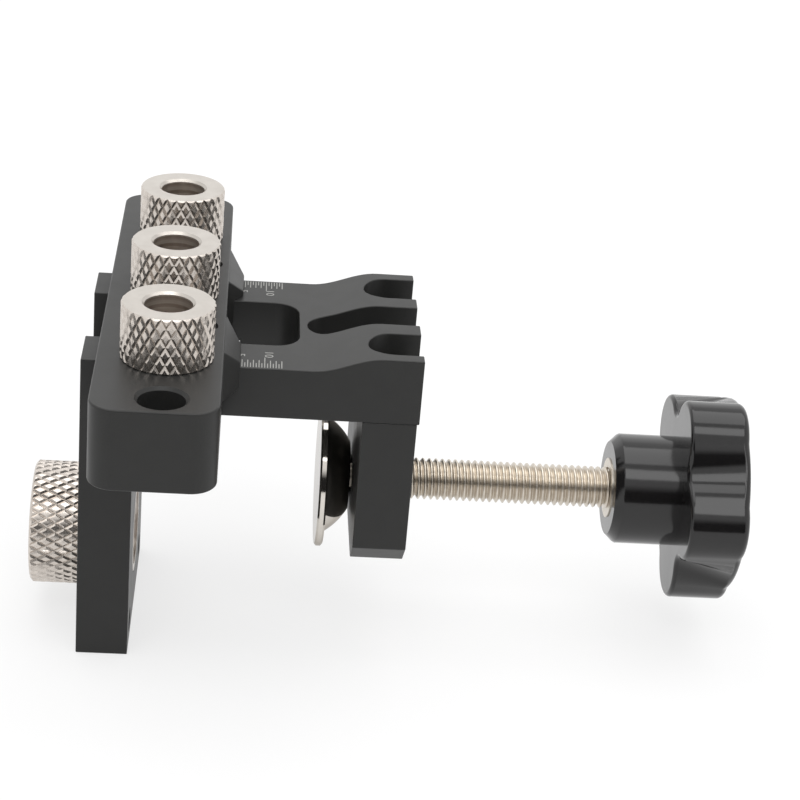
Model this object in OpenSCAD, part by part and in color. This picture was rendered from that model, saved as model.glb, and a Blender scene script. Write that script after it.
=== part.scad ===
// Doweling jig: a slotted base plate with a fence, a sliding guide block with drill bushes,
// and a screw clamp below the plate's other end.
// X runs along the plate, Y across it and Z up. The origin is on the middle bush's axis,
// at the level of the plate's underside, which rests on the board's edge.

/* [Base plate] */
// Width of the plate across both arms
plate_w = 40; // [38:0.5:46]
// Thickness of the arms
plate_t = 9.5; // [8.5:0.5:12]
// Length of the plate from the fence's inner face to the clamp end
plate_l = 50.5; // [50:0.5:60]
// How much thicker the clamp end is than the arms
plate_rise = 2.9; // [1:0.1:4]
// Flat length behind the rise, at the clamp end
rise_flat = 7; // [4:0.5:7.5]
// Length of the rise along the plate
rise_l = 12.5; // [8:0.5:14]
// Width of the window between the arms
window_w = 19.2; // [18:0.2:20]
// Length of the clamp end behind the window
bridge_l = 21.8; // [21.5:0.1:23]
// Corner radius of the window
window_r = 4.5; // [3:0.5:6]
// Width of the slot along the middle of the clamp end
mid_slot_w = 8; // [6:0.5:8.5]
// Wall between the window and the middle slot
mid_slot_wall = 1.5; // [1.2:0.1:3]
// Width of the two end slots, which take the screw heads
end_slot_w = 9; // [9:0.1:9.4]
// Length of the two end slots
end_slot_l = 9.7; // [9:0.1:12]
// Wall between an end slot and the plate's side
end_slot_wall = 2.7; // [2.2:0.1:3]
// Floor left below the end slots
end_slot_floor = 3.5; // [2.5:0.5:5]

/* [Fence] */
// Thickness of the fence plate
fence_t = 9.5; // [8:0.5:12]
// Full height of the fence plate
fence_h = 60; // [58:1:75]
// Width of the notch at the fence's top
notch_w = 19.5; // [19.4:0.1:21]
// How far the notch reaches below the plate's underside
notch_drop = 1.5; // [0.5:0.5:4]
// Diameter of the two holes low in the fence
face_hole_d = 4.5; // [3:0.5:5]
// Distance between those two holes
face_hole_pitch = 28; // [24:1:30]
// Height of their axis above the fence's bottom
face_hole_rise = 4; // [3.5:0.5:8]

/* [Cam bush] */
// Bore of the large bush
cam_bore_d = 15; // [12:0.5:16]
// Diameter of its knurled head
cam_head_d = 23.2; // [22:0.2:26]
// Length of its knurled head
cam_head_l = 9.7; // [8:0.1:14]
// Diameter of its threaded shank
cam_shank_d = 18; // [17:0.5:20]
// Distance from the board's edge to the bush's axis
cam_drop = 34; // [30:1:36]

/* [Guide block] */
// Distance from the fence's inner face to the line of the drill bushes
hole_offset = 5.7; // [5:0.1:6.5]
// Distance from the outer drill bushes to the block's ends
end_l = 22; // [21.5:0.5:30]
// Block width on the fence side of the bush line
block_left = 11.85; // [11.2:0.05:12.5]
// Block width on the clamp side of the bush line
block_right = 9.65; // [9.5:0.05:11]
// Height of the block
block_h = 14.7; // [14.5:0.1:18]
// Radius of the block's upright corners
block_r = 4.5; // [2:0.5:6]
// Wall between an arm and the shank of the outer drill bush
bush_wall = 2; // [1.5:0.1:4]
// Diameter of the plain hole at each end of the block
end_hole_d = 8; // [6:0.5:8.5]
// Distance from the block's ends to the axes of the plain holes
end_hole_in = 5.5; // [5.4:0.1:7]
// Distance from the bush line to the tip of the index points
index_reach = 12.5; // [12:0.1:13]
// Width of an index point at its root
index_root_w = 16.4; // [15:0.2:17]
// Width of an index point at its tip
index_tip_w = 8; // [6:0.5:9]
// Height of the index tip above the arms
index_tip_rise = 1; // [0.6:0.1:2]

/* [Drill bushes] */
// Bore of a drill bush
bush_bore_d = 8.2; // [5:0.1:8.6]
// Diameter of its knurled head
bush_head_d = 16; // [15:0.5:18]
// Height of its knurled head
bush_head_h = 10; // [7:0.5:12]
// Diameter of its threaded shank
bush_shank_d = 12; // [11:0.5:12.5]

/* [Clamp] */
// Thickness of the clamp block
clamp_t = 9.8; // [9.6:0.1:11]
// Height of the clamp block below the plate
clamp_h = 30; // [28:1:34]
// Chamfer on the block's two lower corners
clamp_chamfer = 4.5; // [2:0.5:6]
// How far the block is set back from the plate's end
clamp_inset = 0.4; // [0.2:0.1:1]
// Depth of the clamp screw's axis below the plate
screw_drop = 21; // [20:0.5:22]
// Outside diameter of the clamp screw's thread
screw_d = 7.9; // [7.5:0.1:8.5]
// Pitch of the clamp screw's thread
screw_pitch = 1.25; // [1:0.25:1.5]
// Thread showing between the clamp block and the knob
screw_show = 39.6; // [36:0.1:48]

/* [Swivel pad] */
// Diameter of the pad's disc
pad_d = 27.4; // [26:0.2:32]
// Thickness of the disc at its rim
pad_rim_t = 1.5; // [1:0.1:2]
// Radius of the ball that the pad's domed back is cut from
dome_r = 13; // [12.8:0.1:13.4]
// Gap between the pad's back and the clamp block when wound back
pad_gap = 0.5; // [0.4:0.1:1]

/* [Knob] */
// Diameter across the knob's lobes
knob_d = 41; // [36:0.5:46]
// Number of lobes
lobes = 5; // [5:1:7]
// Thickness of the lobed head
knob_head_t = 11.2; // [9:0.2:14]
// Diameter of the hub
hub_d = 21; // [19:0.5:23]
// Length of the hub
hub_l = 12.4; // [12.4:0.2:16]
// Diameter of the metal insert in the hub
insert_d = 11.4; // [10.5:0.2:13]

/* [Hidden] */
$fn = 64;

// Clearances and overrun
slide_gap = 0.1;
roof_gap = 0.05;
screw_gap = 0.05;
over = 1;

// Places along X
fence_in = -hole_offset;
fence_out = fence_in - fence_t;
plate_end = fence_in + plate_l;
clamp_out = plate_end - clamp_inset;
clamp_in = clamp_out - clamp_t;
hub_face = clamp_out + screw_show;
window_end = plate_end - bridge_l;
mid_slot_tip = window_end + mid_slot_wall;
end_slot_tip = plate_end - end_slot_l;
end_slot_y = plate_w / 2 - end_slot_wall - end_slot_w / 2;

// Arms and the screws in their ends
arm_w = (plate_w - window_w) / 2;
arm_y = plate_w / 2 - arm_w / 2;
fence_screw_d = 4;
fence_screw_l = 20;
fence_screw_head_d = 8;
fence_screw_play = 0.3;
fence_screw_hex = 2.5;
fence_screw_hex_depth = 1.8;
tap_spare = 2;

// Screws of the clamp block
block_screw_d = 5;
block_screw_l = 15;
block_screw_head_d = 8.5;
block_screw_head_h = 5;
block_screw_hex = 4;
block_screw_hex_depth = 2.5;
block_screw_play = 0.25;
block_screw_x = (clamp_in + clamp_out) / 2;

// Rabbets below the arms and the keeper strips that run in them
keeper_t = 1.5;
keeper_reach = 3;
rabbet_gap = 0.15;
keeper_left = 3.3;
keeper_right = 4.8;
keeper_hole_play = 0.1;
keeper_screw_d = 2;
keeper_screw_l = 6;
keeper_screw_head_d = 3.8;
keeper_screw_in = 1.9;
keeper_screw_y = window_w / 2 - keeper_screw_in;
keeper_screw_x = 2.5;
keeper_screw_hex = 1.3;
keeper_screw_hex_depth = 0.6;
rabbet_end_gap = 0.2;
slide_out_travel = 7.3;

// Places along the guide block
bush_pitch = plate_w / 2 + bush_wall + bush_shank_d / 2;
block_l = 2 * (bush_pitch + end_l);
end_hole_y = block_l / 2 - end_hole_in;

// Lock screws of the guide block
lock_d = 5;
lock_in = 0.4;
lock_y = arm_y - lock_in;
lock_x = 5.8;
lock_sink = 0.6;
lock_play = 0.05;
lock_tip_gap = 0.2;
lock_hex = 2.5;
lock_hex_depth = 2;
lock_mouth = 0.3;

// Guide block's details
block_edge = 0.6;
index_foot = 4.6;
index_foot_tip = 5.4;
hole_mouth = 0.3;

// Bushes' details
bush_mouth = 0.45;
bush_edge = 0.5;
cam_mouth = 0.5;
cam_edge = 0.6;

// Swivel joint inside the pad
pad_l = 5.9;
pad_back = clamp_in - pad_gap;
pad_face = pad_back - pad_l;
socket_floor = 1.3;
socket_d = 7.6;
thrust_gap = 0.35;
thrust_d = 6.4;
thrust_t = 0.6;
button_gap = 0.1;
button_d = 6.6;
button_l = 1.85;
button_dome = 0.4;
ring_gap = 0.3;
ring_t = 0.7;
ring_d = 8.4;
ring_hole_d = 5.6;
ring_play = 0.1;
neck_d = 4.6;
thread_start = clamp_in + 0.4 * screw_pitch;
thread_depth = 0.7;
dome_seat = 11.05;

// Knob's details
lobe_r = 7.5;
lobe_ring = knob_d / 2 - lobe_r;
valley_r = 3;
flute_end = 1.7;
// Distance of a valley's own arc from the knob's axis
fill_ring = lobe_ring * cos(180 / lobes)
    + sqrt(pow(lobe_r + valley_r, 2) - pow(lobe_ring * sin(180 / lobes), 2));
lobe_lean = 3;
hub_chamfer = 1.55;
knob_edge = 1.2;
insert_l = 12;
insert_proud = 0.2;
screw_in_insert = 11;

// A cylinder along X from x to x + l
module along_x(x, l, d1, d2 = undef) {
    translate([x, 0, 0]) rotate([0, 90, 0])
        cylinder(h = l, d1 = d1, d2 = d2 == undef ? d1 : d2);
}

// A hexagonal socket, measured across its flats, pointing up from the origin
module hex_socket(flats, depth) {
    cylinder(h = depth, d = flats / cos(30), $fn = 6);
}

// Height of the plate's top: two arcs' worth of smooth rise, as a share of the whole rise
function rise_share(s) = (1 - cos(180 * s)) / 2;
ramp_steps = 14;
rise_x = plate_end - rise_flat - rise_l;
ramp_points = [for (i = [0:ramp_steps])
    [rise_x + rise_l * i / ramp_steps,
     plate_t + plate_rise * rise_share(i / ramp_steps)]];

module plate_side() {
    polygon(concat([[plate_end, 0], [fence_in, 0], [fence_in, plate_t]],
                   ramp_points, [[plate_end, plate_t + plate_rise]]));
}

// A slot with one round end at x, running out past the plate's end
module end_open_slot(x, w, z) {
    translate([x + w / 2, 0, z]) {
        cylinder(h = plate_t + plate_rise + over, d = w);
        translate([0, -w / 2, 0])
            cube([plate_end - x + over, w, plate_t + plate_rise + over]);
    }
}

module window() {
    x = fence_in - over;
    l = window_end - x;
    translate([x, 0, -over]) linear_extrude(plate_t + plate_rise + 2 * over) union() {
        translate([0, -window_w / 2]) square([l - window_r, window_w]);
        translate([0, -window_w / 2 + window_r]) square([l, window_w - 2 * window_r]);
        for (s = [-1, 1]) translate([l - window_r, s * (window_w / 2 - window_r)]) circle(window_r);
    }
}

module keeper_rabbets() {
    l = keeper_right + slide_out_travel + rabbet_end_gap - fence_in;
    h = keeper_t + 2 * rabbet_gap;
    w = window_w + 2 * keeper_reach;
    translate([fence_in - over, -w / 2, -over]) cube([l + over, w, h + over]);
}

module base_plate() {
    color([0.25, 0.25, 0.25]) difference() {
        translate([0, plate_w / 2, 0]) rotate([90, 0, 0]) linear_extrude(plate_w) plate_side();
        window();
        keeper_rabbets();
        end_open_slot(mid_slot_tip, mid_slot_w, -over);
        for (s = [-1, 1]) {
            translate([0, s * end_slot_y, 0]) end_open_slot(end_slot_tip, end_slot_w, end_slot_floor);
            translate([block_screw_x, s * end_slot_y, -over])
                cylinder(h = end_slot_floor + 2 * over, d = block_screw_d + 2 * block_screw_play);
            translate([fence_in, s * arm_y, plate_t / 2]) rotate([0, 90, 0])
                cylinder(h = fence_screw_l - fence_t + tap_spare, d = fence_screw_d);
        }
    }
}

// Countersunk screw: its head's face at the origin, pointing down
module countersunk_screw(d, l, head_d, hex, hex_depth) {
    head_h = (head_d - d) / 2;
    difference() {
        union() {
            translate([0, 0, -head_h]) cylinder(h = head_h, d1 = d, d2 = head_d);
            translate([0, 0, -l]) cylinder(h = l - head_h, d = d);
        }
        translate([0, 0, -hex_depth]) hex_socket(hex, hex_depth + over);
    }
}

// The hole that such a screw sits in
module countersunk_hole(d, l, head_d, play) {
    head_h = (head_d - d) / 2;
    translate([0, 0, -head_h]) cylinder(h = head_h, d1 = d, d2 = head_d);
    cylinder(h = over, d = head_d);
    translate([0, 0, -l]) cylinder(h = l, d = d + 2 * play);
}

module fence_plate() {
    color([0.22, 0.22, 0.22]) difference() {
        translate([fence_out, -plate_w / 2, plate_t - fence_h]) cube([fence_t, plate_w, fence_h]);
        translate([fence_out - over, -notch_w / 2, -notch_drop])
            cube([fence_t + 2 * over, notch_w, plate_t + notch_drop + over]);
        translate([0, 0, -cam_drop]) along_x(fence_out - over, fence_t + 2 * over, cam_shank_d);
        for (s = [-1, 1]) {
            translate([fence_out, s * arm_y, plate_t / 2]) rotate([0, -90, 0])
                countersunk_hole(fence_screw_d, fence_t + over, fence_screw_head_d, fence_screw_play);
            translate([0, s * face_hole_pitch / 2, plate_t - fence_h + face_hole_rise])
                along_x(fence_out - over, fence_t + 2 * over, face_hole_d);
        }
    }
}

module fence_screws() {
    color([0.3, 0.3, 0.3]) for (s = [-1, 1])
        translate([fence_out, s * arm_y, plate_t / 2]) rotate([0, -90, 0])
            countersunk_screw(fence_screw_d, fence_screw_l, fence_screw_head_d,
                              fence_screw_hex, fence_screw_hex_depth);
}

// The large bush, lying along X with its head outside the fence
module cam_bush() {
    color([0.8, 0.79, 0.76]) translate([0, 0, -cam_drop]) difference() {
        union() {
            along_x(fence_out - cam_head_l, cam_edge, cam_head_d - 2 * cam_edge, cam_head_d);
            along_x(fence_out - cam_head_l + cam_edge, cam_head_l - 2 * cam_edge, cam_head_d);
            along_x(fence_out - cam_edge, cam_edge, cam_head_d, cam_head_d - 2 * cam_edge);
            along_x(fence_out - cam_edge, fence_t + cam_edge, cam_shank_d);
        }
        along_x(fence_out - cam_head_l - over, cam_head_l + fence_t + 2 * over, cam_bore_d);
        along_x(fence_out - cam_head_l, cam_mouth, cam_bore_d + 2 * cam_mouth, cam_bore_d);
    }
}

module clamp_block() {
    color([0.22, 0.22, 0.22]) difference() {
        translate([clamp_in, 0, 0]) rotate([90, 0, 90]) linear_extrude(clamp_t) polygon([
            [-plate_w / 2, 0], [-plate_w / 2, clamp_chamfer - clamp_h],
            [clamp_chamfer - plate_w / 2, -clamp_h], [plate_w / 2 - clamp_chamfer, -clamp_h],
            [plate_w / 2, clamp_chamfer - clamp_h], [plate_w / 2, 0]]);
        translate([0, 0, -screw_drop])
            along_x(clamp_in - over, clamp_t + 2 * over, screw_d + 2 * screw_gap);
        for (s = [-1, 1]) translate([block_screw_x, s * end_slot_y, end_slot_floor - block_screw_l - tap_spare])
            cylinder(h = block_screw_l + tap_spare, d = block_screw_d);
    }
}

module clamp_block_screws() {
    color([0.3, 0.3, 0.3]) for (s = [-1, 1])
        translate([block_screw_x, s * end_slot_y, end_slot_floor]) difference() {
            union() {
                cylinder(h = block_screw_head_h, d = block_screw_head_d);
                translate([0, 0, -block_screw_l]) cylinder(h = block_screw_l, d = block_screw_d);
            }
            translate([0, 0, block_screw_head_h - block_screw_hex_depth])
                hex_socket(block_screw_hex, block_screw_hex_depth + over);
        }
}

// Outline of the clamp screw: length along its axis against radius
button_tip = pad_face + socket_floor + thrust_gap + thrust_t + button_gap;
button_end = button_tip + button_l;
screw_end = hub_face + screw_in_insert;
thread_turns = floor((screw_end - thread_start) / screw_pitch);
thread_flat = 0.12 * screw_pitch;
thread_slope = 0.4 * screw_pitch;

module screw_side() {
    r = screw_d / 2;
    root = r - thread_depth;
    polygon(concat(
        [[0, button_tip], [button_d / 2 - button_dome, button_tip],
         [button_d / 2, button_tip + button_dome], [button_d / 2, button_end],
         [neck_d / 2, button_end], [neck_d / 2, thread_start - thread_slope],
         [root, thread_start - thread_slope]],
        [for (i = [0:thread_turns - 1], p = [0:3])
            [p == 0 || p == 3 ? root : r,
             thread_start + i * screw_pitch + [0, thread_slope, thread_slope + thread_flat,
                                               2 * thread_slope + thread_flat][p]]],
        [[root, screw_end], [0, screw_end]]));
}

module clamp_screw() {
    color([0.78, 0.77, 0.74]) translate([0, 0, -screw_drop]) rotate([0, 90, 0])
        rotate_extrude() screw_side();
}

module knob_insert() {
    color([0.75, 0.74, 0.7]) translate([0, 0, -screw_drop]) difference() {
        along_x(hub_face - insert_proud, insert_l, insert_d);
        along_x(hub_face - insert_proud - over, insert_l + 2 * over, screw_d);
    }
}

// Outline of the lobed head: round lobes with a filleted valley between each two
module lobed_outline(shrink) {
    step = 360 / lobes;
    r = lobe_r - shrink;
    circle(lobe_ring);
    for (i = [0:lobes - 1]) rotate(i * step) {
        translate([lobe_ring, 0]) circle(r);
        touch = [lobe_ring, 0] + (lobe_r - shrink) / (lobe_r + valley_r)
            * [fill_ring * cos(step / 2) - lobe_ring, fill_ring * sin(step / 2)];
        twin = [touch[0] * cos(step) + touch[1] * sin(step), touch[0] * sin(step) - touch[1] * cos(step)];
        difference() {
            polygon([[0, 0], touch, twin]);
            rotate(step / 2) translate([fill_ring, 0]) circle(valley_r + shrink);
        }
    }
}

module star_knob() {
    head_x = hub_face + hub_l;
    flute_out = knob_d / 2 - flute_end;
    color([0.08, 0.08, 0.08]) translate([0, 0, -screw_drop]) difference() {
        union() {
            along_x(hub_face, hub_chamfer, hub_d - 2 * hub_chamfer, hub_d);
            along_x(hub_face + hub_chamfer, hub_l, hub_d);
            translate([head_x, 0, 0]) rotate([180 - lobe_lean, 0, 0]) rotate([90, 0, 90]) {
                linear_extrude(knob_edge) lobed_outline(knob_edge / 2);
                translate([0, 0, knob_edge]) linear_extrude(knob_head_t - 2 * knob_edge) lobed_outline(0);
                translate([0, 0, knob_head_t - knob_edge]) linear_extrude(knob_edge)
                    lobed_outline(knob_edge / 2);
                // the valleys run out towards the front
                cylinder(h = knob_head_t - knob_edge, r1 = fill_ring - valley_r, r2 = flute_out);
                translate([0, 0, knob_head_t - knob_edge])
                    cylinder(h = knob_edge, r1 = flute_out, r2 = flute_out - knob_edge);
            }
        }
        along_x(hub_face - over, insert_l - insert_proud + over, insert_d);
    }
}

module pad_thrust_disc() {
    color([0.6, 0.6, 0.6]) translate([0, 0, -screw_drop])
        along_x(pad_face + socket_floor + thrust_gap, thrust_t, thrust_d);
}

// Outline of the swivel pad: a thin disc with a domed back around the screw's button end
ring_x = button_end + ring_gap;
dome_centre = pad_face + pad_rim_t - sqrt(pow(dome_r, 2) - pow(dome_seat, 2));
dome_steps = 12;

module pad_side() {
    low = asin(dome_seat / dome_r);
    high = acos((pad_back - dome_centre) / dome_r);
    socket = socket_d / 2;
    groove = (ring_d + ring_play) / 2;
    polygon(concat(
        [[0, pad_face], [pad_d / 2, pad_face], [pad_d / 2, pad_face + pad_rim_t]],
        [for (i = [0:dome_steps]) let (a = low + (high - low) * i / dome_steps)
            [dome_r * sin(a), dome_centre + dome_r * cos(a)]],
        [[socket, pad_back], [socket, ring_x + ring_t + ring_play / 2],
         [groove, ring_x + ring_t + ring_play / 2], [groove, ring_x - ring_play / 2],
         [socket, ring_x - ring_play / 2], [socket, pad_face + socket_floor],
         [0, pad_face + socket_floor]]));
}

module swivel_pad() {
    color([0.82, 0.81, 0.79]) translate([0, 0, -screw_drop]) rotate([0, 90, 0])
        rotate_extrude() pad_side();
}

module pad_snap_ring() {
    color([0.5, 0.5, 0.5]) translate([0, 0, -screw_drop]) difference() {
        along_x(ring_x, ring_t, ring_d);
        along_x(ring_x - over, ring_t + 2 * over, ring_hole_d);
    }
}

module block_outline(shrink) {
    w = block_left + block_right;
    x = (block_right - block_left) / 2;
    for (s = [-1, 1], t = [-1, 1])
        translate([x + s * (w / 2 - block_r), t * (block_l / 2 - block_r)]) circle(block_r - shrink);
    translate([x, 0]) square([w - 2 * shrink, block_l - 2 * block_r], center = true);
    translate([x, 0]) square([w - 2 * block_r, block_l - 2 * shrink], center = true);
}

// One index point: a trapezoid in plan whose top and bottom slope in towards its tip
module index_point() {
    centre_y = plate_w / 2 - index_tip_w / 2;
    translate([0, centre_y, 0]) intersection() {
        linear_extrude(block_h) polygon([
            [0, -index_root_w / 2], [block_right, -index_root_w / 2], [index_reach, -index_tip_w / 2],
            [index_reach, index_tip_w / 2], [block_right, index_root_w / 2], [0, index_root_w / 2]]);
        translate([0, index_root_w / 2 + over, 0]) rotate([90, 0, 0])
            linear_extrude(index_root_w + 2 * over) polygon([
                [0, index_foot], [block_right, index_foot], [index_reach, index_foot_tip],
                [index_reach, plate_t + index_tip_rise], [block_right, block_h - block_edge], [0, block_h - block_edge]]);
    }
}

module guide_block() {
    channel_in = window_w / 2 - slide_gap;
    channel_out = plate_w / 2 + slide_gap;
    channel_l = block_left + index_reach + 2 * over;
    color([0.25, 0.25, 0.25]) difference() {
        union() {
            linear_extrude(block_h - block_edge) block_outline(0);
            translate([0, 0, block_h - block_edge]) linear_extrude(block_edge) block_outline(block_edge / 2);
            index_point();
            mirror([0, 1, 0]) index_point();
        }
        for (s = [-1, 1]) translate([0, s * (channel_in + channel_out) / 2, 0]) {
            translate([-block_left - over, (channel_in - channel_out) / 2, -over])
                cube([channel_l, channel_out - channel_in, plate_t + roof_gap + over]);
        }
        translate([-keeper_left - slide_gap, -channel_in - over, -over])
            cube([keeper_left + keeper_right + 2 * slide_gap, 2 * (channel_in + over), keeper_t + over]);
        for (s = [-1, 0, 1]) translate([0, s * bush_pitch, -over])
            cylinder(h = block_h + 2 * over, d = bush_shank_d);
        for (s = [-1, 1]) {
            translate([0, s * end_hole_y, -over]) cylinder(h = block_h + 2 * over, d = end_hole_d);
            translate([0, s * end_hole_y, block_h - hole_mouth])
                cylinder(h = hole_mouth, d1 = end_hole_d, d2 = end_hole_d + 2 * hole_mouth);
            translate([lock_x, s * lock_y, plate_t - over])
                cylinder(h = block_h - plate_t + 2 * over, d = lock_d + 2 * lock_play);
            translate([lock_x, s * lock_y, block_h - lock_mouth])
                cylinder(h = lock_mouth, d1 = lock_d, d2 = lock_d + 2 * lock_mouth);
            translate([keeper_screw_x, s * keeper_screw_y, 0])
                cylinder(h = keeper_screw_l + tap_spare, d = keeper_screw_d);
        }
    }
}

module drill_bush(y) {
    color([0.8, 0.79, 0.76]) translate([0, y, 0]) difference() {
        union() {
            cylinder(h = block_h, d = bush_shank_d);
            translate([0, 0, block_h]) cylinder(h = bush_edge, d1 = bush_head_d - 2 * bush_edge, d2 = bush_head_d);
            translate([0, 0, block_h + bush_edge]) cylinder(h = bush_head_h - 2 * bush_edge, d = bush_head_d);
            translate([0, 0, block_h + bush_head_h - bush_edge])
                cylinder(h = bush_edge, d1 = bush_head_d, d2 = bush_head_d - 2 * bush_edge);
        }
        translate([0, 0, -over]) cylinder(h = block_h + bush_head_h + 2 * over, d = bush_bore_d);
        translate([0, 0, block_h + bush_head_h - bush_mouth])
            cylinder(h = bush_mouth, d1 = bush_bore_d, d2 = bush_bore_d + 2 * bush_mouth);
    }
}

// The keeper: two thin strips screwed below the block's tongue, one beside each side of the middle bush
module keeper_strips() {
    w = window_w + 2 * keeper_reach - 2 * slide_gap;
    color([0.55, 0.55, 0.56]) difference() {
        translate([-keeper_left, -w / 2, 0]) cube([keeper_left + keeper_right, w, keeper_t]);
        translate([0, 0, -over]) cylinder(h = keeper_t + 2 * over, d = bush_shank_d + 2 * keeper_hole_play);
        for (s = [-1, 1]) translate([keeper_screw_x, s * keeper_screw_y, 0]) rotate([180, 0, 0])
            countersunk_hole(keeper_screw_d, keeper_t + over, keeper_screw_head_d, 0);
    }
}

module keeper_screws() {
    color([0.35, 0.35, 0.36]) for (s = [-1, 1])
        translate([keeper_screw_x, s * keeper_screw_y, 0]) rotate([180, 0, 0])
            countersunk_screw(keeper_screw_d, keeper_screw_l, keeper_screw_head_d,
                              keeper_screw_hex, keeper_screw_hex_depth);
}

module lock_screw(y) {
    low = plate_t + lock_tip_gap;
    high = block_h - lock_sink;
    color([0.3, 0.3, 0.3]) translate([lock_x, y, 0]) difference() {
        translate([0, 0, low]) cylinder(h = high - low, d = lock_d);
        translate([0, 0, high - lock_hex_depth]) hex_socket(lock_hex, lock_hex_depth + over);
    }
}

base_plate();
fence_plate();
fence_screws();
cam_bush();
clamp_block();
clamp_block_screws();
clamp_screw();
knob_insert();
star_knob();
pad_thrust_disc();
swivel_pad();
pad_snap_ring();
guide_block();
drill_bush(-bush_pitch);  // drill_bush_front
drill_bush(0);  // drill_bush_middle
drill_bush(bush_pitch);  // drill_bush_rear
keeper_strips();
keeper_screws();
lock_screw(-lock_y);  // lock_screw_front
lock_screw(lock_y);  // lock_screw_rear
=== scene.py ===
import math

import bpy
from mathutils import Matrix, Vector


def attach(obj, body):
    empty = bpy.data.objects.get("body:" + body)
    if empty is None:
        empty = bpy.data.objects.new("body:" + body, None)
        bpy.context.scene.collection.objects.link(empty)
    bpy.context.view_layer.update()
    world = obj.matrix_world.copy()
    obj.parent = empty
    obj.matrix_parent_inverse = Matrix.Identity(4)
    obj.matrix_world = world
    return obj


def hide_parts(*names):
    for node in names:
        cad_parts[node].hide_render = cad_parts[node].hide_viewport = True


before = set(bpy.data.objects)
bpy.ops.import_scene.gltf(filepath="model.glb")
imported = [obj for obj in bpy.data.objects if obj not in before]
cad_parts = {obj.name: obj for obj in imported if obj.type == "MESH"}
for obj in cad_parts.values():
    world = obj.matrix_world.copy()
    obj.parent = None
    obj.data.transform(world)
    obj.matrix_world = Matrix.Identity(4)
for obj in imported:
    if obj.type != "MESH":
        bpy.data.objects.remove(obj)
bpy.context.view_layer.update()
mm = 0.001
print("frame loaded")


# Tools that every piece uses, with lengths in mm and angles in degrees

tools = {"double": 0.002, "same": 0.001, "level": 0.01, "upright": 1, "facing": 0.9,
         "flat": 0.6, "keepFlat": 50}


def pick(obj):
    # makes obj the only selected and the active one
    if bpy.context.object and bpy.context.object.mode != "OBJECT":
        bpy.ops.object.mode_set(mode="OBJECT")
    bpy.ops.object.select_all(action="DESELECT")
    obj.select_set(True)
    bpy.context.view_layer.objects.active = obj
    return obj


def added(name):
    obj = bpy.context.object
    obj.name = name
    obj.data.name = name
    return pick(obj)


def modify(obj, kind, **settings):
    pick(obj)
    mod = obj.modifiers.new(kind.lower(), kind)
    for key, value in settings.items():
        setattr(mod, key, value)
    bpy.ops.object.modifier_apply(modifier=mod.name)
    return obj


def edit(obj, what="VERT", everything=True):
    if obj.mode != "EDIT":
        pick(obj)
    bpy.ops.object.mode_set(mode="EDIT")
    bpy.ops.mesh.select_mode(type=what)
    bpy.ops.mesh.select_all(action="SELECT" if everything else "DESELECT")


def done(obj):
    bpy.ops.object.mode_set(mode="OBJECT")
    return obj


def choose(obj, what, test):
    # selects the faces or edges that pass the test, and stays in edit mode
    edit(obj, what, False)
    bpy.ops.object.mode_set(mode="OBJECT")
    for item in {"EDGE": obj.data.edges, "FACE": obj.data.polygons}[what]:
        item.select = bool(test(item))
    bpy.ops.object.mode_set(mode="EDIT")


def rise(obj, edge):
    # how far an edge climbs, in mm
    a, b = (obj.data.vertices[v].co.z for v in edge.vertices)
    return abs(a - b) / mm


def mergeDoubles():
    bpy.ops.mesh.remove_doubles(threshold=tools["double"] * mm)


def tidy(obj):
    # merges doubles and turns every face outwards
    edit(obj)
    mergeDoubles()
    bpy.ops.mesh.normals_make_consistent(inside=False)
    return done(obj)


def dissolveFlats(obj):
    # joins the faces that lie in one plane
    edit(obj)
    bpy.ops.mesh.dissolve_limited(angle_limit=math.radians(tools["flat"]))
    done(obj)


def smooth(obj, angle):
    # smooth shading in which the large faces stay flat
    pick(obj)
    bpy.ops.object.shade_smooth_by_angle(angle=math.radians(angle))
    modify(obj, "WEIGHTED_NORMAL", mode="FACE_AREA", weight=tools["keepFlat"], keep_sharp=True)


def ownCopy(obj, name):
    # a copy with a mesh of its own
    twin = obj.copy()
    twin.data = obj.data.copy()
    twin.name = twin.data.name = name
    bpy.context.scene.collection.objects.link(twin)
    twin.parent = None
    return twin


def place(obj, where, turn=(0, 0, 0)):
    # moves a piece to its place and leaves the place in its mesh
    pick(obj)
    obj.location = [v * mm for v in where]
    obj.rotation_euler = [math.radians(v) for v in turn]
    bpy.ops.object.transform_apply(location=True, rotation=True, scale=True)
    return obj


def join(obj, *others):
    pick(obj)
    for other in others:
        other.select_set(True)
    bpy.ops.object.join()
    return obj


def cut(obj, cutter, how="DIFFERENCE"):
    modify(obj, "BOOLEAN", object=cutter, operation=how, solver="EXACT")
    bpy.data.objects.remove(cutter)


def block(name, low, high):
    size = [(b - a) * mm for a, b in zip(low, high)]
    middle = [(a + b) / 2 * mm for a, b in zip(low, high)]
    bpy.ops.mesh.primitive_cube_add(size=1, location=middle, scale=size)
    bpy.ops.object.transform_apply(location=True, rotation=True, scale=True)
    return added(name)


def rod(name, x, y, low, high, radius, sides=64):
    bpy.ops.mesh.primitive_cylinder_add(
        vertices=sides, radius=radius * mm, depth=(high - low) * mm,
        location=(x * mm, y * mm, (low + high) / 2 * mm))
    bpy.ops.object.transform_apply(location=True, rotation=True, scale=True)
    return added(name)


def outline(name, points, closed):
    # a ring of vertices drawn out to the given (x, z) points
    bpy.ops.mesh.primitive_circle_add(vertices=len(points), radius=mm, fill_type="NOTHING")
    obj = added(name)
    for vertex, (x, z) in zip(obj.data.vertices, points):
        vertex.co = (x * mm, 0, z * mm)
    if not closed:
        ends = {0, len(points) - 1}
        choose(obj, "EDGE", lambda e: set(e.vertices) == ends)
        bpy.ops.mesh.delete(type="EDGE")
        done(obj)
    return obj


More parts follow.
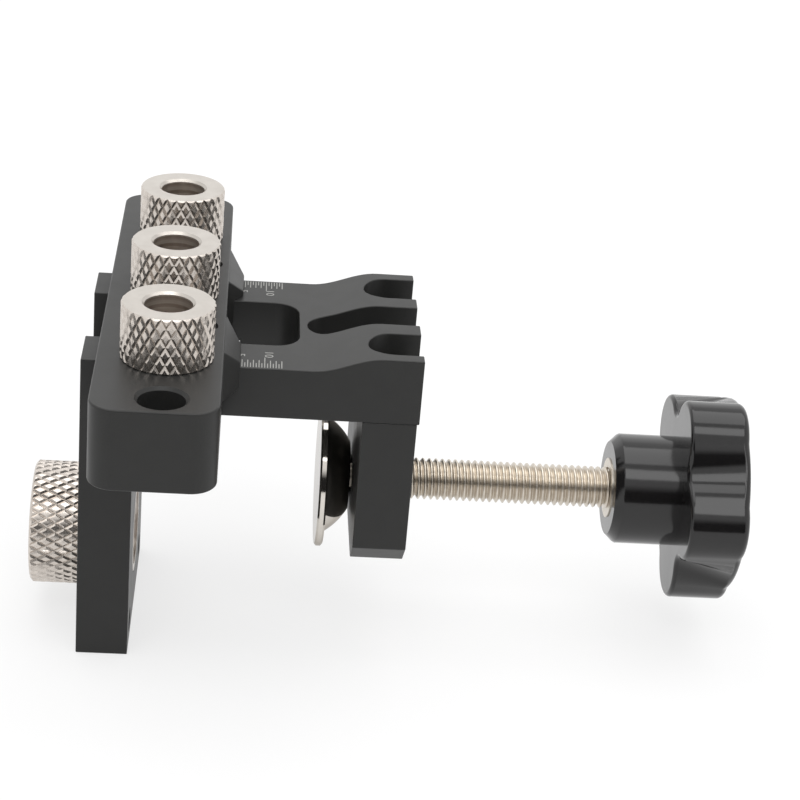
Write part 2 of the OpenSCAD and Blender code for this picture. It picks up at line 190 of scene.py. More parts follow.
def sweep(obj, steps, turns=1, pitch=0):
    # takes an outline round Z, climbing by the pitch on each turn
    return modify(obj, "SCREW", axis="Z", angle=2 * math.pi, screw_offset=pitch * mm,
                  iterations=turns, steps=steps, render_steps=steps,
                  use_merge_vertices=True, merge_threshold=tools["same"] * mm)


def turned(name, points, closed=True, sides=96):
    # a lathe piece round Z from (radius, z) points
    return tidy(sweep(outline(name, points, closed), sides))


# Shader tools: wires carry numbers through Math nodes, everything else goes through node()

class Wire:
    def __init__(self, finish, socket):
        self.finish = finish
        self.socket = socket

    def maths(self, how, other=None, swapped=False):
        pair = [self] if other is None else ([other, self] if swapped else [self, other])
        return self.finish.wire("ShaderNodeMath", {"operation": how}, dict(enumerate(pair)))

    def __add__(self, other):
        return self.maths("ADD", other)

    def __sub__(self, other):
        return self.maths("SUBTRACT", other)

    def __rsub__(self, other):
        return self.maths("SUBTRACT", other, True)

    def __mul__(self, other):
        return self.maths("MULTIPLY", other)

    def __truediv__(self, other):
        return self.maths("DIVIDE", other)

    def __rtruediv__(self, other):
        return self.maths("DIVIDE", other, True)

    __radd__ = __add__
    __rmul__ = __mul__


ringNoise = {"Scale": 1.0, "Detail": 3.0, "Roughness": 0.6}


class Finish:
    def __init__(self, owner):
        # starts the nodes of a new material, given by its name, or of a world
        named = isinstance(owner, str)
        self.owner = bpy.data.materials.new(owner) if named else owner
        self.owner.use_nodes = True
        self.tree = self.owner.node_tree
        self.tree.nodes.clear()
        if named:
            self.place = self.node("ShaderNodeTexCoord").outputs["Object"]

    def node(self, kind, settings=None, sockets=None):
        node = self.tree.nodes.new(kind)
        for key, value in (settings or {}).items():
            setattr(node, key, value)
        for key, value in (sockets or {}).items():
            if isinstance(value, Wire):
                value = value.socket
            if isinstance(value, bpy.types.NodeSocket):
                self.tree.links.new(value, node.inputs[key])
            else:
                node.inputs[key].default_value = value
        return node

    def wire(self, kind, settings, sockets, out=0):
        return Wire(self, self.node(kind, settings, sockets).outputs[out])

    def noise(self, scale, detail, rough=0.5):
        return self.wire("ShaderNodeTexNoise", None, {
            "Vector": self.place, "Scale": scale, "Detail": detail, "Roughness": rough})

    def rings(self, along):
        # fine turning marks: noise that changes with one wire only
        return self.wire("ShaderNodeTexNoise", {"noise_dimensions": "1D"}, {"W": along, **ringNoise})

    def axes(self):
        split = self.node("ShaderNodeSeparateXYZ", None, {0: self.place})
        return [Wire(self, split.outputs[i]) for i in range(3)]

    def colours(self, share, look):
        return self.wire("ShaderNodeMix", {"data_type": "RGBA"}, {
            0: share, 6: (*look["dark"], 1), 7: (*look["light"], 1)}, 2)

    def relief(self, height, look):
        depth, strength = look["relief"]
        return self.node("ShaderNodeBump", None, {
            "Height": height, "Distance": depth * mm, "Strength": strength}).outputs[0]

    def surface(self, **sockets):
        named = {key.replace("_", " "): value for key, value in sockets.items()}
        shader = self.node("ShaderNodeBsdfPrincipled", None, named)
        self.node("ShaderNodeOutputMaterial", None, {"Surface": shader.outputs[0]})
        return self.owner


# Finishes. Each noise (grain, cloud, fine) is its scale per metre, its detail and, where it
# isn't 0.5, its roughness. The relief is its depth in mm and its strength, and the spread is
# how much the roughness varies.

anodisedLook = {"dark": (0.016, 0.016, 0.0155), "light": (0.032, 0.032, 0.031),
                "grain": (5200, 2, 0.6), "cloud": (260, 3), "grainShare": 0.6, "cloudShare": 0.4,
                "roughness": 0.4, "spread": 0.12, "relief": (0.012, 0.5), "shine": 0.28}


def anodisedFinish():
    f, look = Finish("blackAnodised"), anodisedLook
    grain = f.noise(*look["grain"])
    cloud = f.noise(*look["cloud"])
    share = grain * look["grainShare"] + cloud * look["cloudShare"]
    return f.surface(
        Base_Color=f.colours(share, look), Metallic=0.0, Specular_IOR_Level=look["shine"],
        Roughness=look["roughness"] + (cloud - 0.5) * look["spread"],
        Normal=f.relief(grain, look))


blackSteelLook = {"dark": (0.02, 0.02, 0.02), "light": (0.06, 0.058, 0.055), "fine": (2600, 3),
                  "metal": 0.7, "roughness": 0.34, "spread": 0.12, "relief": (0.006, 0.5)}


def blackSteelFinish():
    f, look = Finish("blackSteel"), blackSteelLook
    fine = f.noise(*look["fine"])
    return f.surface(
        Base_Color=f.colours(fine, look), Metallic=look["metal"],
        Roughness=look["roughness"] + fine * look["spread"], Normal=f.relief(fine, look))


# the drill bushes stand 28 mm apart, and the cam bush's axis lies 34 mm down
nickelLook = {"dark": (0.48, 0.445, 0.405), "light": (0.61, 0.575, 0.53), "rings": 9000,
              "cloud": (420, 3), "roughness": 0.24, "spread": 0.12, "relief": (0.01, 0.35),
              "gap": 28, "drop": 34}


def nickelFinish(name, roundX=False):
    # turned nickel with rings round each bush's own axis
    f, look = Finish(name), nickelLook
    x, y, z = f.axes()
    gap, drop = look["gap"] * mm, look["drop"] * mm
    if roundX:
        a, b, along = y, z + drop, x
    else:
        a, b, along = x, y - (y / gap).maths("ROUND") * gap, z
    radius = (a * a + b * b).maths("SQRT")
    marks = f.rings((radius + along) * look["rings"])
    cloud = f.noise(*look["cloud"])
    return f.surface(
        Base_Color=f.colours(cloud, look), Metallic=1.0,
        Roughness=look["roughness"] + marks * look["spread"], Normal=f.relief(marks, look))


# painted light: the pale base colours stand in for light reaching into the shaded bores
paintedLightBoreLook = {"dark": (0.56, 0.49, 0.44), "light": (0.97, 0.93, 0.88), "rings": 1500,
            "cloud": (350, 3), "contrast": 1.9, "roughness": 0.22, "spread": 0.2,
            "relief": (0.04, 0.6)}


def paintedLightBoreFinish(name, roundX=False):
    # the reamed bores get a paler base colour, painted light that lifts the shade inside them, and coarser
    # rings
    f, look = Finish(name), paintedLightBoreLook
    x, y, z = f.axes()
    marks = f.rings((x if roundX else z) * look["rings"])
    cloud = f.noise(*look["cloud"])
    return f.surface(
        Base_Color=f.colours((marks - 0.5) * look["contrast"] + cloud, look), Metallic=1.0,
        Roughness=look["roughness"] + marks * look["spread"], Normal=f.relief(marks, look))


knurlLook = {"dark": (0.45, 0.405, 0.365), "light": (0.81, 0.75, 0.69), "cloud": (700, 4, 0.7),
             "fine": (5200, 2), "roughness": 0.2, "spread": 0.16, "relief": (0.01, 0.5)}
screwLook = {"dark": (0.46, 0.41, 0.35), "light": (0.78, 0.72, 0.63), "cloud": (600, 4, 0.7),
             "fine": (6400, 2), "roughness": 0.24, "spread": 0.14, "relief": (0.008, 0.5)}


def cloudyMetal(name, look):
    f = Finish(name)
    cloud = f.noise(*look["cloud"])
    fine = f.noise(*look["fine"])
    return f.surface(
        Base_Color=f.colours(cloud, look), Metallic=1.0,
        Roughness=look["roughness"] + fine * look["spread"], Normal=f.relief(fine, look))


padLook = {"dark": (0.6, 0.56, 0.51), "light": (0.72, 0.69, 0.64), "edgeOn": (0.55, 0.53, 0.51, 1),
           "cloud": (300, 3), "fine": (3800, 3), "roughness": 0.07, "spread": 0.06,
           "relief": (0.003, 0.3)}


def padFinish():
    f, look = Finish("padNickel"), padLook
    cloud = f.noise(*look["cloud"])
    fine = f.noise(*look["fine"])
    return f.surface(
        Base_Color=f.colours(cloud, look), Metallic=1.0, Specular_Tint=look["edgeOn"],
        Roughness=look["roughness"] + cloud * look["spread"], Normal=f.relief(fine, look))


knobLook = {"dark": (0.006, 0.006, 0.0065), "light": (0.011, 0.01, 0.01), "cloud": (90, 2),
            "fine": (1500, 3), "fineShare": 0.03, "roughness": 0.1, "spread": 0.06,
            "relief": (0.12, 0.5)}


def knobFinish():
    f, look = Finish("knobBlack"), knobLook
    cloud = f.noise(*look["cloud"])
    fine = f.noise(*look["fine"])
    return f.surface(
        Base_Color=f.colours(fine, look), Metallic=0.0,
        Roughness=look["roughness"] + fine * look["spread"],
        Normal=f.relief(cloud + fine * look["fineShare"], look))


markLook = {"dark": (0.2, 0.2, 0.19), "light": (0.42, 0.42, 0.4), "fine": (4200, 3), "roughness": 0.7}


def markFinish():
    f, look = Finish("scaleMark"), markLook
    fine = f.noise(*look["fine"])
    return f.surface(Base_Color=f.colours(fine, look), Roughness=look["roughness"])


finishes = {
    "black_anodised": anodisedFinish(), "black_steel": blackSteelFinish(),
    "bush_steel": nickelFinish("bushNickel"), "screw_steel": cloudyMetal("screwSteel", screwLook),
    "pad_nickel": padFinish(), "knob_black": knobFinish(), "scale_mark": markFinish(),
    "knurl": cloudyMetal("knurledNickel", knurlLook),
    "cam_bush": nickelFinish("camBushNickel", roundX=True),
    # the two bore finishes carry painted light: a paler colour against the shade inside the bores
    "bore": paintedLightBoreFinish("boreNickel"), "cam_bore_painted_light": paintedLightBoreFinish("camBoreNickel", roundX=True),
}
print("finishes made")


def dress(obj, *names):
    obj.data.materials.clear()
    for name in names:
        obj.data.materials.append(finishes[name])


def settle(obj, body, slot, *nodes):
    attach(obj, body)
    if nodes:
        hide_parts(*nodes)


# Base plate, fence and clamp block: clean copies of the CAD nodes with broken edges

plates = {"edge": 0.22, "steps": 3, "sharp": 32,
          "nodes": {"base_plate": "basePlate", "fence_plate": "fencePlate", "clamp_block": "clampBlock"}}


def plateCopy(node, name):
    p = plates
    obj = ownCopy(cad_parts[node], name)
    edit(obj)
    bpy.ops.mesh.customdata_custom_splitnormals_clear()
    mergeDoubles()
    dissolveFlats(obj)
    modify(obj, "BEVEL", width=p["edge"] * mm, segments=p["steps"], limit_method="ANGLE",
           angle_limit=math.radians(p["sharp"]), use_clamp_overlap=False)
    smooth(obj, p["sharp"])
    dress(obj, "black_anodised")
    settle(obj, "frame", "black_anodised", node)


for node, name in plates["nodes"].items():
    plateCopy(node, name)
print("plates made")

# Guide block. Its cutters reach from below to above, past the block.

guide = {"left": -11.85, "right": 9.65, "halfLength": 50, "height": 14.7, "below": -2, "above": 20,
         "corner": 4.5, "cornerSteps": 14, "edge": 0.35, "edgeSteps": 3, "sharp": 32,
         "channelIn": 9.5, "channelOut": 20.1, "channelTop": 9.55,
         "bushGap": 28, "shank": 6, "endHole": 4, "endHoleY": 44.5, "holeEdge": 0.55,
         "holeOver": (0.1, 3), "holeSides": 64,
         "lock": (5.8, 14.4, 2.55), "lockFloor": 8, "lockSides": 48,
         "keeper": (-3.4, 4.9, 1.5), "keeperHalf": 10.5,
         "pointY": 16, "pointRoot": 8.2, "pointTip": 4, "reach": 12.5, "pointSunk": 3,
         "pointLow": (4.6, 5.4), "pointHigh": (14.1, 10.5), "pointEdge": 0.25}


def indexPoint(side):
    # a block with unit sides, drawn out to the point's corners at its root and tip
    g = guide
    obj = block("indexPoint", (g["right"], 0, 0), (g["reach"], 1, 1))
    for v in obj.data.vertices:
        tip = v.co.x > (g["right"] + g["reach"]) / 2 * mm
        half = g["pointTip"] if tip else g["pointRoot"]
        v.co.y = (side * g["pointY"] + (half if v.co.y > mm / 2 else -half)) * mm
        v.co.z = (g["pointHigh"] if v.co.z > mm / 2 else g["pointLow"])[int(tip)] * mm
    choose(obj, "FACE", lambda p: p.normal.x < -tools["facing"])
    bpy.ops.mesh.extrude_region_move(TRANSFORM_OT_translate={"value": (-g["pointSunk"] * mm, 0, 0)})
    bpy.ops.mesh.select_all(action="SELECT")
    bpy.ops.mesh.bevel(offset=g["pointEdge"] * mm, segments=g["edgeSteps"])
    return done(obj)


def endHoleCutter(y):
    # a drill that widens to a small chamfer at the block's top
    g = guide
    r, top, edge = g["endHole"], g["height"], g["holeEdge"]
    near, far = g["holeOver"]
    wide = r + edge + near
    cutter = turned("endHole", [
        (0, g["below"]), (r, g["below"]), (r, top - edge), (wide, top + near),
        (wide, top + far), (0, top + far)], closed=False, sides=g["holeSides"])
    return place(cutter, (0, y, 0))


def guideBlock():
    g = guide
    below, above = g["below"], g["above"]
    obj = block("guideBlock", (g["left"], -g["halfLength"], 0), (g["right"], g["halfLength"], g["height"]))
    choose(obj, "EDGE", lambda e: rise(obj, e) > tools["upright"])
    bpy.ops.mesh.bevel(offset=g["corner"] * mm, segments=g["cornerSteps"])
    choose(obj, "EDGE", lambda e: rise(obj, e) < tools["level"])
    bpy.ops.mesh.bevel(offset=g["edge"] * mm, segments=g["edgeSteps"])
    done(obj)
    for side in (-1, 1):
        cut(obj, indexPoint(side), how="UNION")
    lockX, lockY, lockRadius = g["lock"]
    for side in (-1, 1):
        low, high = sorted((side * g["channelIn"], side * g["channelOut"]))
        cut(obj, block("channel", (-above, low, below), (above, high, g["channelTop"])))
        cut(obj, endHoleCutter(side * g["endHoleY"]))
        cut(obj, rod("lockHole", lockX, side * lockY, g["lockFloor"], above, lockRadius, g["lockSides"]))
    start, end, depth = g["keeper"]
    cut(obj, block("keeperPocket", (start, -g["keeperHalf"], below), (end, g["keeperHalf"], depth)))
    for step in (-1, 0, 1):
        cut(obj, rod("bushHole", 0, step * g["bushGap"], below, above, g["shank"]))
    dissolveFlats(obj)
    smooth(obj, g["sharp"])
    dress(obj, "black_anodised")
    settle(obj, "guide", "black_anodised", "guide_block")


guideBlock()
print("guide block made")

# Knurled bushes, built round Z. Both kinds share the knurl: a face belongs to it, or to the
# bore, when it lies within a depth in mm and its normal's Z is below a limit.

knurl = {"diamond": 3.2, "slope": 0.36, "depth": 0.27, "knurlFaces": (0.9, 0.9), "boreFaces": (0.1, 0.1)}
drillBush = {**knurl, "head": 8, "low": 14.7, "high": 24.7, "bore": 4.1, "mouth": 0.45, "edge": 0.28,
             "shank": 6, "shankLow": 0, "shankEdge": 0.3, "starts": 28, "sharp": 22,
             "nodes": {"drill_bush_front": "drillBushFront", "drill_bush_middle": "drillBushMiddle",
                       "drill_bush_rear": "drillBushRear"}}
camBush = {**knurl, "head": 11.6, "low": 0, "high": 9.7, "bore": 7.5, "mouth": 0.5, "edge": 0.5,
           "shank": 9, "shankLow": -9.5, "shankEdge": 0.3, "starts": 40, "sharp": 22,
           "place": (-15.2, 0, -34)}


def knurledDrum(b):
    # a tall grid turned into diamonds, each raised from the grooves
    rows = 2 * math.ceil((b["high"] - b["low"]) / b["diamond"] + 0.5)
    tall = rows * b["diamond"] / 2
    middle = (b["low"] + b["high"]) / 2
    bpy.ops.mesh.primitive_cylinder_add(
        vertices=2 * b["starts"], radius=(b["head"] - b["depth"]) * mm, depth=tall * mm,
        end_fill_type="NOTHING", location=(0, 0, middle * mm))
    bpy.ops.object.transform_apply(location=True, rotation=True, scale=True)
    obj = added("knurl")
    choose(obj, "EDGE", lambda e: rise(obj, e) > tools["upright"])
    bpy.ops.mesh.subdivide(number_cuts=rows - 1)
    bpy.ops.mesh.select_all(action="SELECT")
    bpy.ops.mesh.unsubdivide(iterations=1)
    choose(obj, "FACE", lambda p: len(p.vertices) == 4)
    bpy.ops.mesh.inset(use_individual=True, thickness=b["slope"] * mm, depth=b["depth"] * mm)
    bpy.ops.mesh.select_mode(type="EDGE")
    bpy.ops.mesh.select_all(action="DESELECT")
    bpy.ops.mesh.select_non_manifold()
    bpy.ops.mesh.edge_face_add()
    return done(obj)


def bushShape(name, b):
    low, high, edge, bore = b["low"], b["high"], b["edge"], b["bore"]
    head = turned("head", [
        (bore, low), (b["head"] - edge, low), (b["head"], low + edge), (b["head"], high - edge),
        (b["head"] - edge, high), (bore + b["mouth"], high), (bore, high - b["mouth"])])
    cut(head, knurledDrum(b), how="INTERSECT")
    foot, edge = b["shankLow"], b["shankEdge"]
    shank = turned("shank", [
        (bore, foot), (b["shank"] - edge, foot), (b["shank"], foot + edge), (b["shank"], low), (bore, low)])
    obj = join(head, shank)
    obj.name = obj.data.name = name
    smooth(obj, b["sharp"])
    return obj


def bush(name, b, plain, bore):
    # the flat end keeps its turning marks, the knurl and the bore have their own finish
    obj = bushShape(name, b)
    # the bore's finish is paler, as painted light in the shaded bore
    dress(obj, plain, "knurl", bore)
    knurlDepth, knurlLean = b["knurlFaces"]
    boreDepth, boreLean = b["boreFaces"]
    for face in obj.data.polygons:
        radius = math.hypot(face.center.x, face.center.y) / mm
        lean = abs(face.normal.z)
        if radius > b["head"] - knurlDepth and lean < knurlLean:
            face.material_index = 1
        elif radius < b["bore"] + boreDepth and lean < boreLean:
            face.material_index = 2
    return obj


# one drill bush is modelled and the three are its copies
model = bush("drillBush", drillBush, "bush_steel", "bore")
for i, (node, name) in enumerate(drillBush["nodes"].items()):
    obj = place(ownCopy(model, name), (0, (i - 1) * guide["bushGap"], 0))
    settle(obj, "guide", "bush_steel", node)
bpy.data.objects.remove(model)

obj = bush("camBush", camBush, "cam_bush", "cam_bore_painted_light")
place(obj, camBush["place"], (0, -90, 0))
settle(obj, "frame", "bush_steel", "cam_bush")
print("bushes made")

# Clamp screw, built round Z like the pad and the knob, and then laid along X

screw = {"radius": 3.95, "root": 3.25, "pitch": 1.25, "start": 35.1, "end": 95.0, "axisZ": -21,
         "rootFlat": 0.1, "flanks": (0.52, 0.83), "crest": (0.6, 0.75), "crestRound": 0.06,
         "sides": 40, "spareTurns": 3, "sharp": 40, "buttonSides": 64,
         "button": [(0, 30.55), (2.9, 30.55), (3.3, 30.95), (3.3, 32.4), (2.3, 32.4), (2.3, 35.4),
                    (0, 35.4)]}


def layAlongX(obj):
    place(obj, (0, 0, screw["axisZ"]), (0, 90, 0))


def clampScrew():
    s = screw
    turns = math.ceil((s["end"] - s["start"]) / s["pitch"]) + s["spareTurns"]
    low = s["start"] - s["spareTurns"] / 2 * s["pitch"]
    shoulder = s["radius"] - s["crestRound"]
    thread = outline("thread", [
        (s["root"], low), (s["root"], low + s["rootFlat"]), (shoulder, low + s["flanks"][0]),
        (s["radius"], low + s["crest"][0]), (s["radius"], low + s["crest"][1]),
        (shoulder, low + s["flanks"][1]), (s["root"], low + s["pitch"])], closed=False)
    sweep(thread, s["sides"], turns, s["pitch"])
    edit(thread)
    mergeDoubles()
    for height, way in ((s["start"], -1), (s["end"], 1)):
        bpy.ops.mesh.select_all(action="SELECT")
        bpy.ops.mesh.bisect(plane_co=(0, 0, height * mm), plane_no=(0, 0, way),
                            use_fill=True, clear_outer=True)
    bpy.ops.mesh.select_all(action="SELECT")
    bpy.ops.mesh.normals_make_consistent(inside=False)
    done(thread)
    obj = join(thread, turned("button", s["button"], closed=False, sides=s["buttonSides"]))
    obj.name = obj.data.name = "clampScrew"
    smooth(obj, s["sharp"])
    layAlongX(obj)
    dress(obj, "screw_steel")
    settle(obj, "screw", "screw_steel", "clamp_screw")


clampScrew()
print("clamp screw made")

# Swivel pad

pad = {"face": 28.2, "disc": 13.7, "rim": 1.5, "rimIn": 0.4, "rimUp": 0.35,
       "ball": 13, "centre": 22.852, "seat": 11.05, "back": 34.1, "domeSteps": 24,
       "socket": 3.8, "floor": 29.5, "groove": 4.25, "grooveAt": (32.65, 33.45),
       "sides": 128, "sharp": 30}


def swivelPad():
    p = pad
    low = math.asin(p["seat"] / p["ball"])
    high = math.acos((p["back"] - p["centre"]) / p["ball"])
    angles = [low + (high - low) * i / p["domeSteps"] for i in range(p["domeSteps"] + 1)]
    dome = [(p["ball"] * math.sin(a), p["centre"] + p["ball"] * math.cos(a)) for a in angles]
    face, rimTop = p["face"], p["face"] + p["rim"]
    grooveLow, grooveHigh = p["grooveAt"]
    rim = [(0, face), (p["disc"] - p["rimIn"], face), (p["disc"], face + p["rimUp"]),
           (p["disc"], rimTop - p["rimUp"]), (p["disc"] - p["rimIn"], rimTop)]
    socket = [(p["socket"], p["back"]), (p["socket"], grooveHigh), (p["groove"], grooveHigh),
              (p["groove"], grooveLow), (p["socket"], grooveLow), (p["socket"], p["floor"]),
              (0, p["floor"])]
    obj = turned("swivelPad", rim + dome + socket, closed=False, sides=p["sides"])
    smooth(obj, p["sharp"])
    layAlongX(obj)
    dress(obj, "pad_nickel")
    settle(obj, "pad", "pad_nickel", "swivel_pad")


swivelPad()
print("pad made")

# Star knob

knob = {"hub": 10.5, "hubFace": 84.0, "hubEdge": 1.55, "hubRound": (0.25, 0.2), "hubLength": 12.4,
        "hubSunk": 1, "insert": 5.7, "insertDepth": 11.8,
        "lobes": 5, "lobe": 7.5, "ring": 13, "valley": 3, "thick": 11.2, "lean": -93, "flute": 18.8,
        "lobeSteps": 24, "valleySteps": 8, "backEdge": 0.8, "frontEdge": 1.4, "edgeSteps": 6,
        "sharp": 30}


def lobedRing():
    # the knob's outline: an arc over each lobe and one through each valley
    k = knob
    step = 2 * math.pi / k["lobes"]
    fill = k["ring"] * math.cos(step / 2) + math.sqrt(
        (k["lobe"] + k["valley"]) ** 2 - (k["ring"] * math.sin(step / 2)) ** 2)
    centre = Vector((fill * math.cos(step / 2), fill * math.sin(step / 2)))
    reach = math.atan2(centre.y, centre.x - k["ring"])
    start, end = reach + math.pi, step - reach + math.pi
    points = []
    for lobe in range(k["lobes"]):
        turn = Matrix.Rotation(lobe * step + math.radians(k["lean"]), 2)
        for i in range(k["lobeSteps"] + 1):
            a = -reach + 2 * reach * i / k["lobeSteps"]
            points.append(turn @ Vector((k["ring"] + k["lobe"] * math.cos(a), k["lobe"] * math.sin(a))))
        for i in range(1, k["valleySteps"]):
            a = start + (end - start) * i / k["valleySteps"]
            points.append(turn @ (centre + k["valley"] * Vector((math.cos(a), math.sin(a)))))
    return points


def roundRim(obj, height, edge):
    level = height * mm
    choose(obj, "EDGE", lambda e: all(
        abs(obj.data.vertices[v].co.z - level) < tools["same"] * mm for v in e.vertices))
    bpy.ops.mesh.bevel(offset=edge * mm, segments=knob["edgeSteps"], profile=0.5)


def starKnob():
    k = knob
    points = lobedRing()
    bpy.ops.mesh.primitive_circle_add(vertices=len(points), radius=mm, fill_type="NGON")
    head = added("starKnob")
    base = k["hubFace"] + k["hubLength"]
    for vertex, point in zip(head.data.vertices, points):
        vertex.co = (point.x * mm, point.y * mm, base * mm)
    edit(head, "FACE")
    bpy.ops.mesh.extrude_region_move(TRANSFORM_OT_translate={"value": (0, 0, k["thick"] * mm)})
    done(head)
    # the valleys run out towards the front
    for vertex in head.data.vertices:
        radius = math.hypot(vertex.co.x, vertex.co.y) / mm
        if vertex.co.z > (base + k["thick"] / 2) * mm and radius < k["flute"]:
            vertex.co.x *= k["flute"] / radius
            vertex.co.y *= k["flute"] / radius
    roundRim(head, base, k["backEdge"])
    roundRim(head, base + k["thick"], k["frontEdge"])
    done(head)
    tidy(head)
    inward, outward = k["hubRound"]
    edgeEnd, insertEnd = k["hubFace"] + k["hubEdge"], k["hubFace"] + k["insertDepth"]
    hubEnd = base + k["hubSunk"]
    hub = turned("hub", [
        (k["insert"], k["hubFace"]), (k["hub"] - k["hubEdge"], k["hubFace"]),
        (k["hub"] - inward, edgeEnd - inward), (k["hub"], edgeEnd + outward),
        (k["hub"], hubEnd), (0, hubEnd), (0, insertEnd), (k["insert"], insertEnd)], closed=False)
    obj = join(head, hub)
    smooth(obj, k["sharp"])
    layAlongX(obj)
    dress(obj, "knob_black")
    settle(obj, "screw", "knob_black", "star_knob")


starKnob()
print("knob made")

# Scale marks on both arms

marks = {"zero": 6.8, "first": 5, "last": 13, "longest": 10, "top": 9.5, "lift": 0.012, "width": 0.17,
         "outer": 19.45, "long": 4.2, "whole": 3.0, "half": 1.75,
         "labels": {"5": 5, "10": 10}, "labelHeight": 1.5, "labelWidth": 1.05, "labelGap": 0.15,
         "extrude": 0.01}


def tick(side, halves):
    # a mark across the arm, at a number of half millimetres
    m = marks
    reach = m["long"] if halves == 2 * m["longest"] else (m["half"] if halves % 2 else m["whole"])
    x, half = m["zero"] + halves / 2, m["width"] / 2
    low, high = sorted((side * m["outer"], side * (m["outer"] - reach)))
    return block("tick", (x - half, low, m["top"]), (x + half, high, m["top"] + m["lift"]))


def label(side, text, at):
    # a number as a mesh, drawn to its size
    m = marks
    bpy.ops.object.text_add()
    word = bpy.context.object
    word.data.body = text
    word.data.extrude = m["extrude"]
    pick(word)
    bpy.ops.object.convert(target="MESH")
    word = bpy.context.object
    low = [min(v.co[i] for v in word.data.vertices) for i in range(3)]
    high = [max(v.co[i] for v in word.data.vertices) for i in range(3)]
    size = (len(text) * m["labelWidth"], m["labelHeight"], m["lift"])
    for v in word.data.vertices:
        v.co = [(v.co[i] - low[i]) / (high[i] - low[i]) * size[i] * mm for i in range(3)]
    y = side * (m["outer"] - m["long"] - m["labelGap"]) + (size[0] if side < 0 else 0)
    return place(word, (m["zero"] + at, y, m["top"]), (0, 0, -90))


def scaleMarks(side, name):
    m = marks
    ticks = [tick(side, halves) for halves in range(2 * m["first"], 2 * m["last"] + 1)]
    labels = [label(side, text, at) for text, at in m["labels"].items()]
    obj = join(*ticks, *labels)
    obj.name = obj.data.name = name
    dress(obj, "scale_mark")
    settle(obj, "frame", "black_anodised")


scaleMarks(-1, "scaleFront")
scaleMarks(1, "scaleRear")
print("scale made")

# Finishes of the CAD nodes that stay

stay = {"black_steel": ("fence_screws", "clamp_block_screws", "keeper_screws", "lock_screw_front",
                        "lock_screw_rear"),
        "screw_steel": ("keeper_strips", "knob_insert", "pad_thrust_disc", "pad_snap_ring")}

for finish, nodes in stay.items():
    for node in nodes:
        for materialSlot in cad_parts[node].material_slots:
            materialSlot.material = finishes[finish]

# Floor, cards, sky and lamps, with places in metres

white = (1, 1, 1, 1)
ground = {"height": -50.6 * mm, "size": 12, "colour": (0.88, 0.88, 0.88, 1), "glow": 0.7}


def seenDirect(f):
    # 1 for what the camera sees, plainly or in a glossy or clear surface
    path = f.node("ShaderNodeLightPath")
    rays = ("Is Camera Ray", "Is Glossy Ray", "Is Transmission Ray")
    ways = [Wire(f, path.outputs[ray]) for ray in rays]
    return ways[0].maths("MAXIMUM", ways[1]).maths("MAXIMUM", ways[2])


def emission(f, strength):
    return f.node("ShaderNodeEmission", None, {"Color": white, "Strength": strength}).outputs[0]


def finishStage(obj, f, shader):
    f.node("ShaderNodeOutputMaterial", None, {"Surface": shader})
    obj.data.materials.append(f.owner)


def paleFloor():
    bpy.ops.mesh.primitive_plane_add(size=ground["size"], location=(0, 0, ground["height"]))
    floor = added("floor")
    f = Finish("paleFloor")
    cloth = f.node("ShaderNodeBsdfDiffuse", None, {"Color": ground["colour"]}).outputs[0]
    mix = f.node("ShaderNodeMixShader", None, {
        0: seenDirect(f) * ground["glow"], 1: cloth, 2: emission(f, 1.0)})
    finishStage(floor, f, mix.outputs[0])


# dark cards in front of and above the object, for the dark bands in its reflections
cards = {"places": {"frontCard": ((-0.9, -1.0, -0.12), (0.9, -1.01, 0.66)),
                    "topCard": ((-0.6, -0.3, 0.9), (0.6, -0.16, 0.91))},
         "paler": (0.36, 0.64), "glow": (0.02, 0.9)}


def darkCard(name, low, high):
    # nearly black, and paler towards its top
    card = block(name, [v / mm for v in low], [v / mm for v in high])
    card.visible_camera = False
    f = Finish("darkCard")
    fade = f.node("ShaderNodeMapRange", None, {
        0: f.axes()[2], 1: cards["paler"][0], 2: cards["paler"][1],
        3: cards["glow"][0], 4: cards["glow"][1]})
    finishStage(card, f, emission(f, fade.outputs[0]))


sky = {"soft": 0.9}


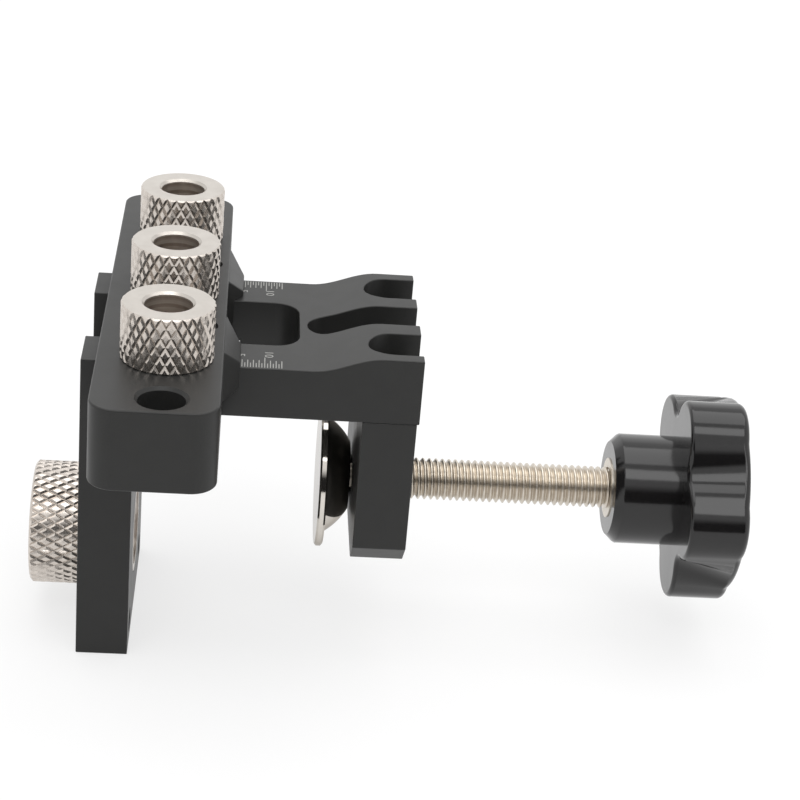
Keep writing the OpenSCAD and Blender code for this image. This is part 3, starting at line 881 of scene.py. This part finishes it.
def studioSky():
    # white wherever the camera and the reflections look, softer as light
    world = bpy.data.worlds.new("studio")
    bpy.context.scene.world = world
    f = Finish(world)
    direct = seenDirect(f)
    strength = direct + (1 - direct) * sky["soft"]
    back = f.node("ShaderNodeBackground", None, {"Color": white, "Strength": strength})
    f.node("ShaderNodeOutputWorld", None, {"Surface": back.outputs[0]})


# each box is its place, its size and its power
lamps = {"aim": (0.04, 0, -0.01),
         "boxes": [((0.02, -0.5, 0.78), (0.9, 0.34), 2.2), ((0.1, 0.2, 1.0), (1.4, 0.9), 6.0),
                   ((0.0, 1.2, 0.5), (1.6, 0.7), 0.7)]}


def softbox(name, where, size, power):
    bpy.ops.object.light_add(type="AREA", location=where)
    lamp = bpy.context.object
    lamp.name = name
    lamp.data.shape = "RECTANGLE"
    lamp.data.size, lamp.data.size_y = size
    lamp.data.energy = power
    lamp.visible_camera = False
    lamp.rotation_euler = (Vector(where) - Vector(lamps["aim"])).to_track_quat("Z", "Y").to_euler()


paleFloor()
for name, corners in cards["places"].items():
    darkCard(name, *corners)
studioSky()
for i, box in enumerate(lamps["boxes"]):
    softbox(f"softbox{i}", *box)

# Camera, standing where the photo was taken: angles in degrees, its place in mm, the focal
# length and the picture's width in pixels

view = {"azimuth": 4.98756, "elevation": 25.45144, "roll": 5.09564,
        "place": (11.5525, -356.7003, 165.7112), "focal": 2118.92, "picture": 800,
        "sensor": 36, "near": 0.01}


def camera():
    az, el, roll = (math.radians(view[key]) for key in ("azimuth", "elevation", "roll"))
    back = Vector((-math.sin(az) * math.cos(el), -math.cos(az) * math.cos(el), math.sin(el)))
    level = Vector((math.cos(az), -math.sin(az), 0))
    up = back.cross(level)
    right = level * math.cos(roll) + up * math.sin(roll)
    up = up * math.cos(roll) - level * math.sin(roll)
    bpy.ops.object.camera_add()
    cam = bpy.context.object
    cam.name = "camera"
    turn = Matrix((right, up, back)).transposed().to_4x4()
    cam.matrix_world = Matrix.Translation([v * mm for v in view["place"]]) @ turn
    cam.data.sensor_fit = "HORIZONTAL"
    cam.data.sensor_width = view["sensor"]
    cam.data.lens = view["sensor"] * view["focal"] / view["picture"]
    cam.data.clip_start = view["near"]
    bpy.context.scene.camera = cam


camera()
bpy.context.scene.view_settings.view_transform = "Standard"
print("studio made")
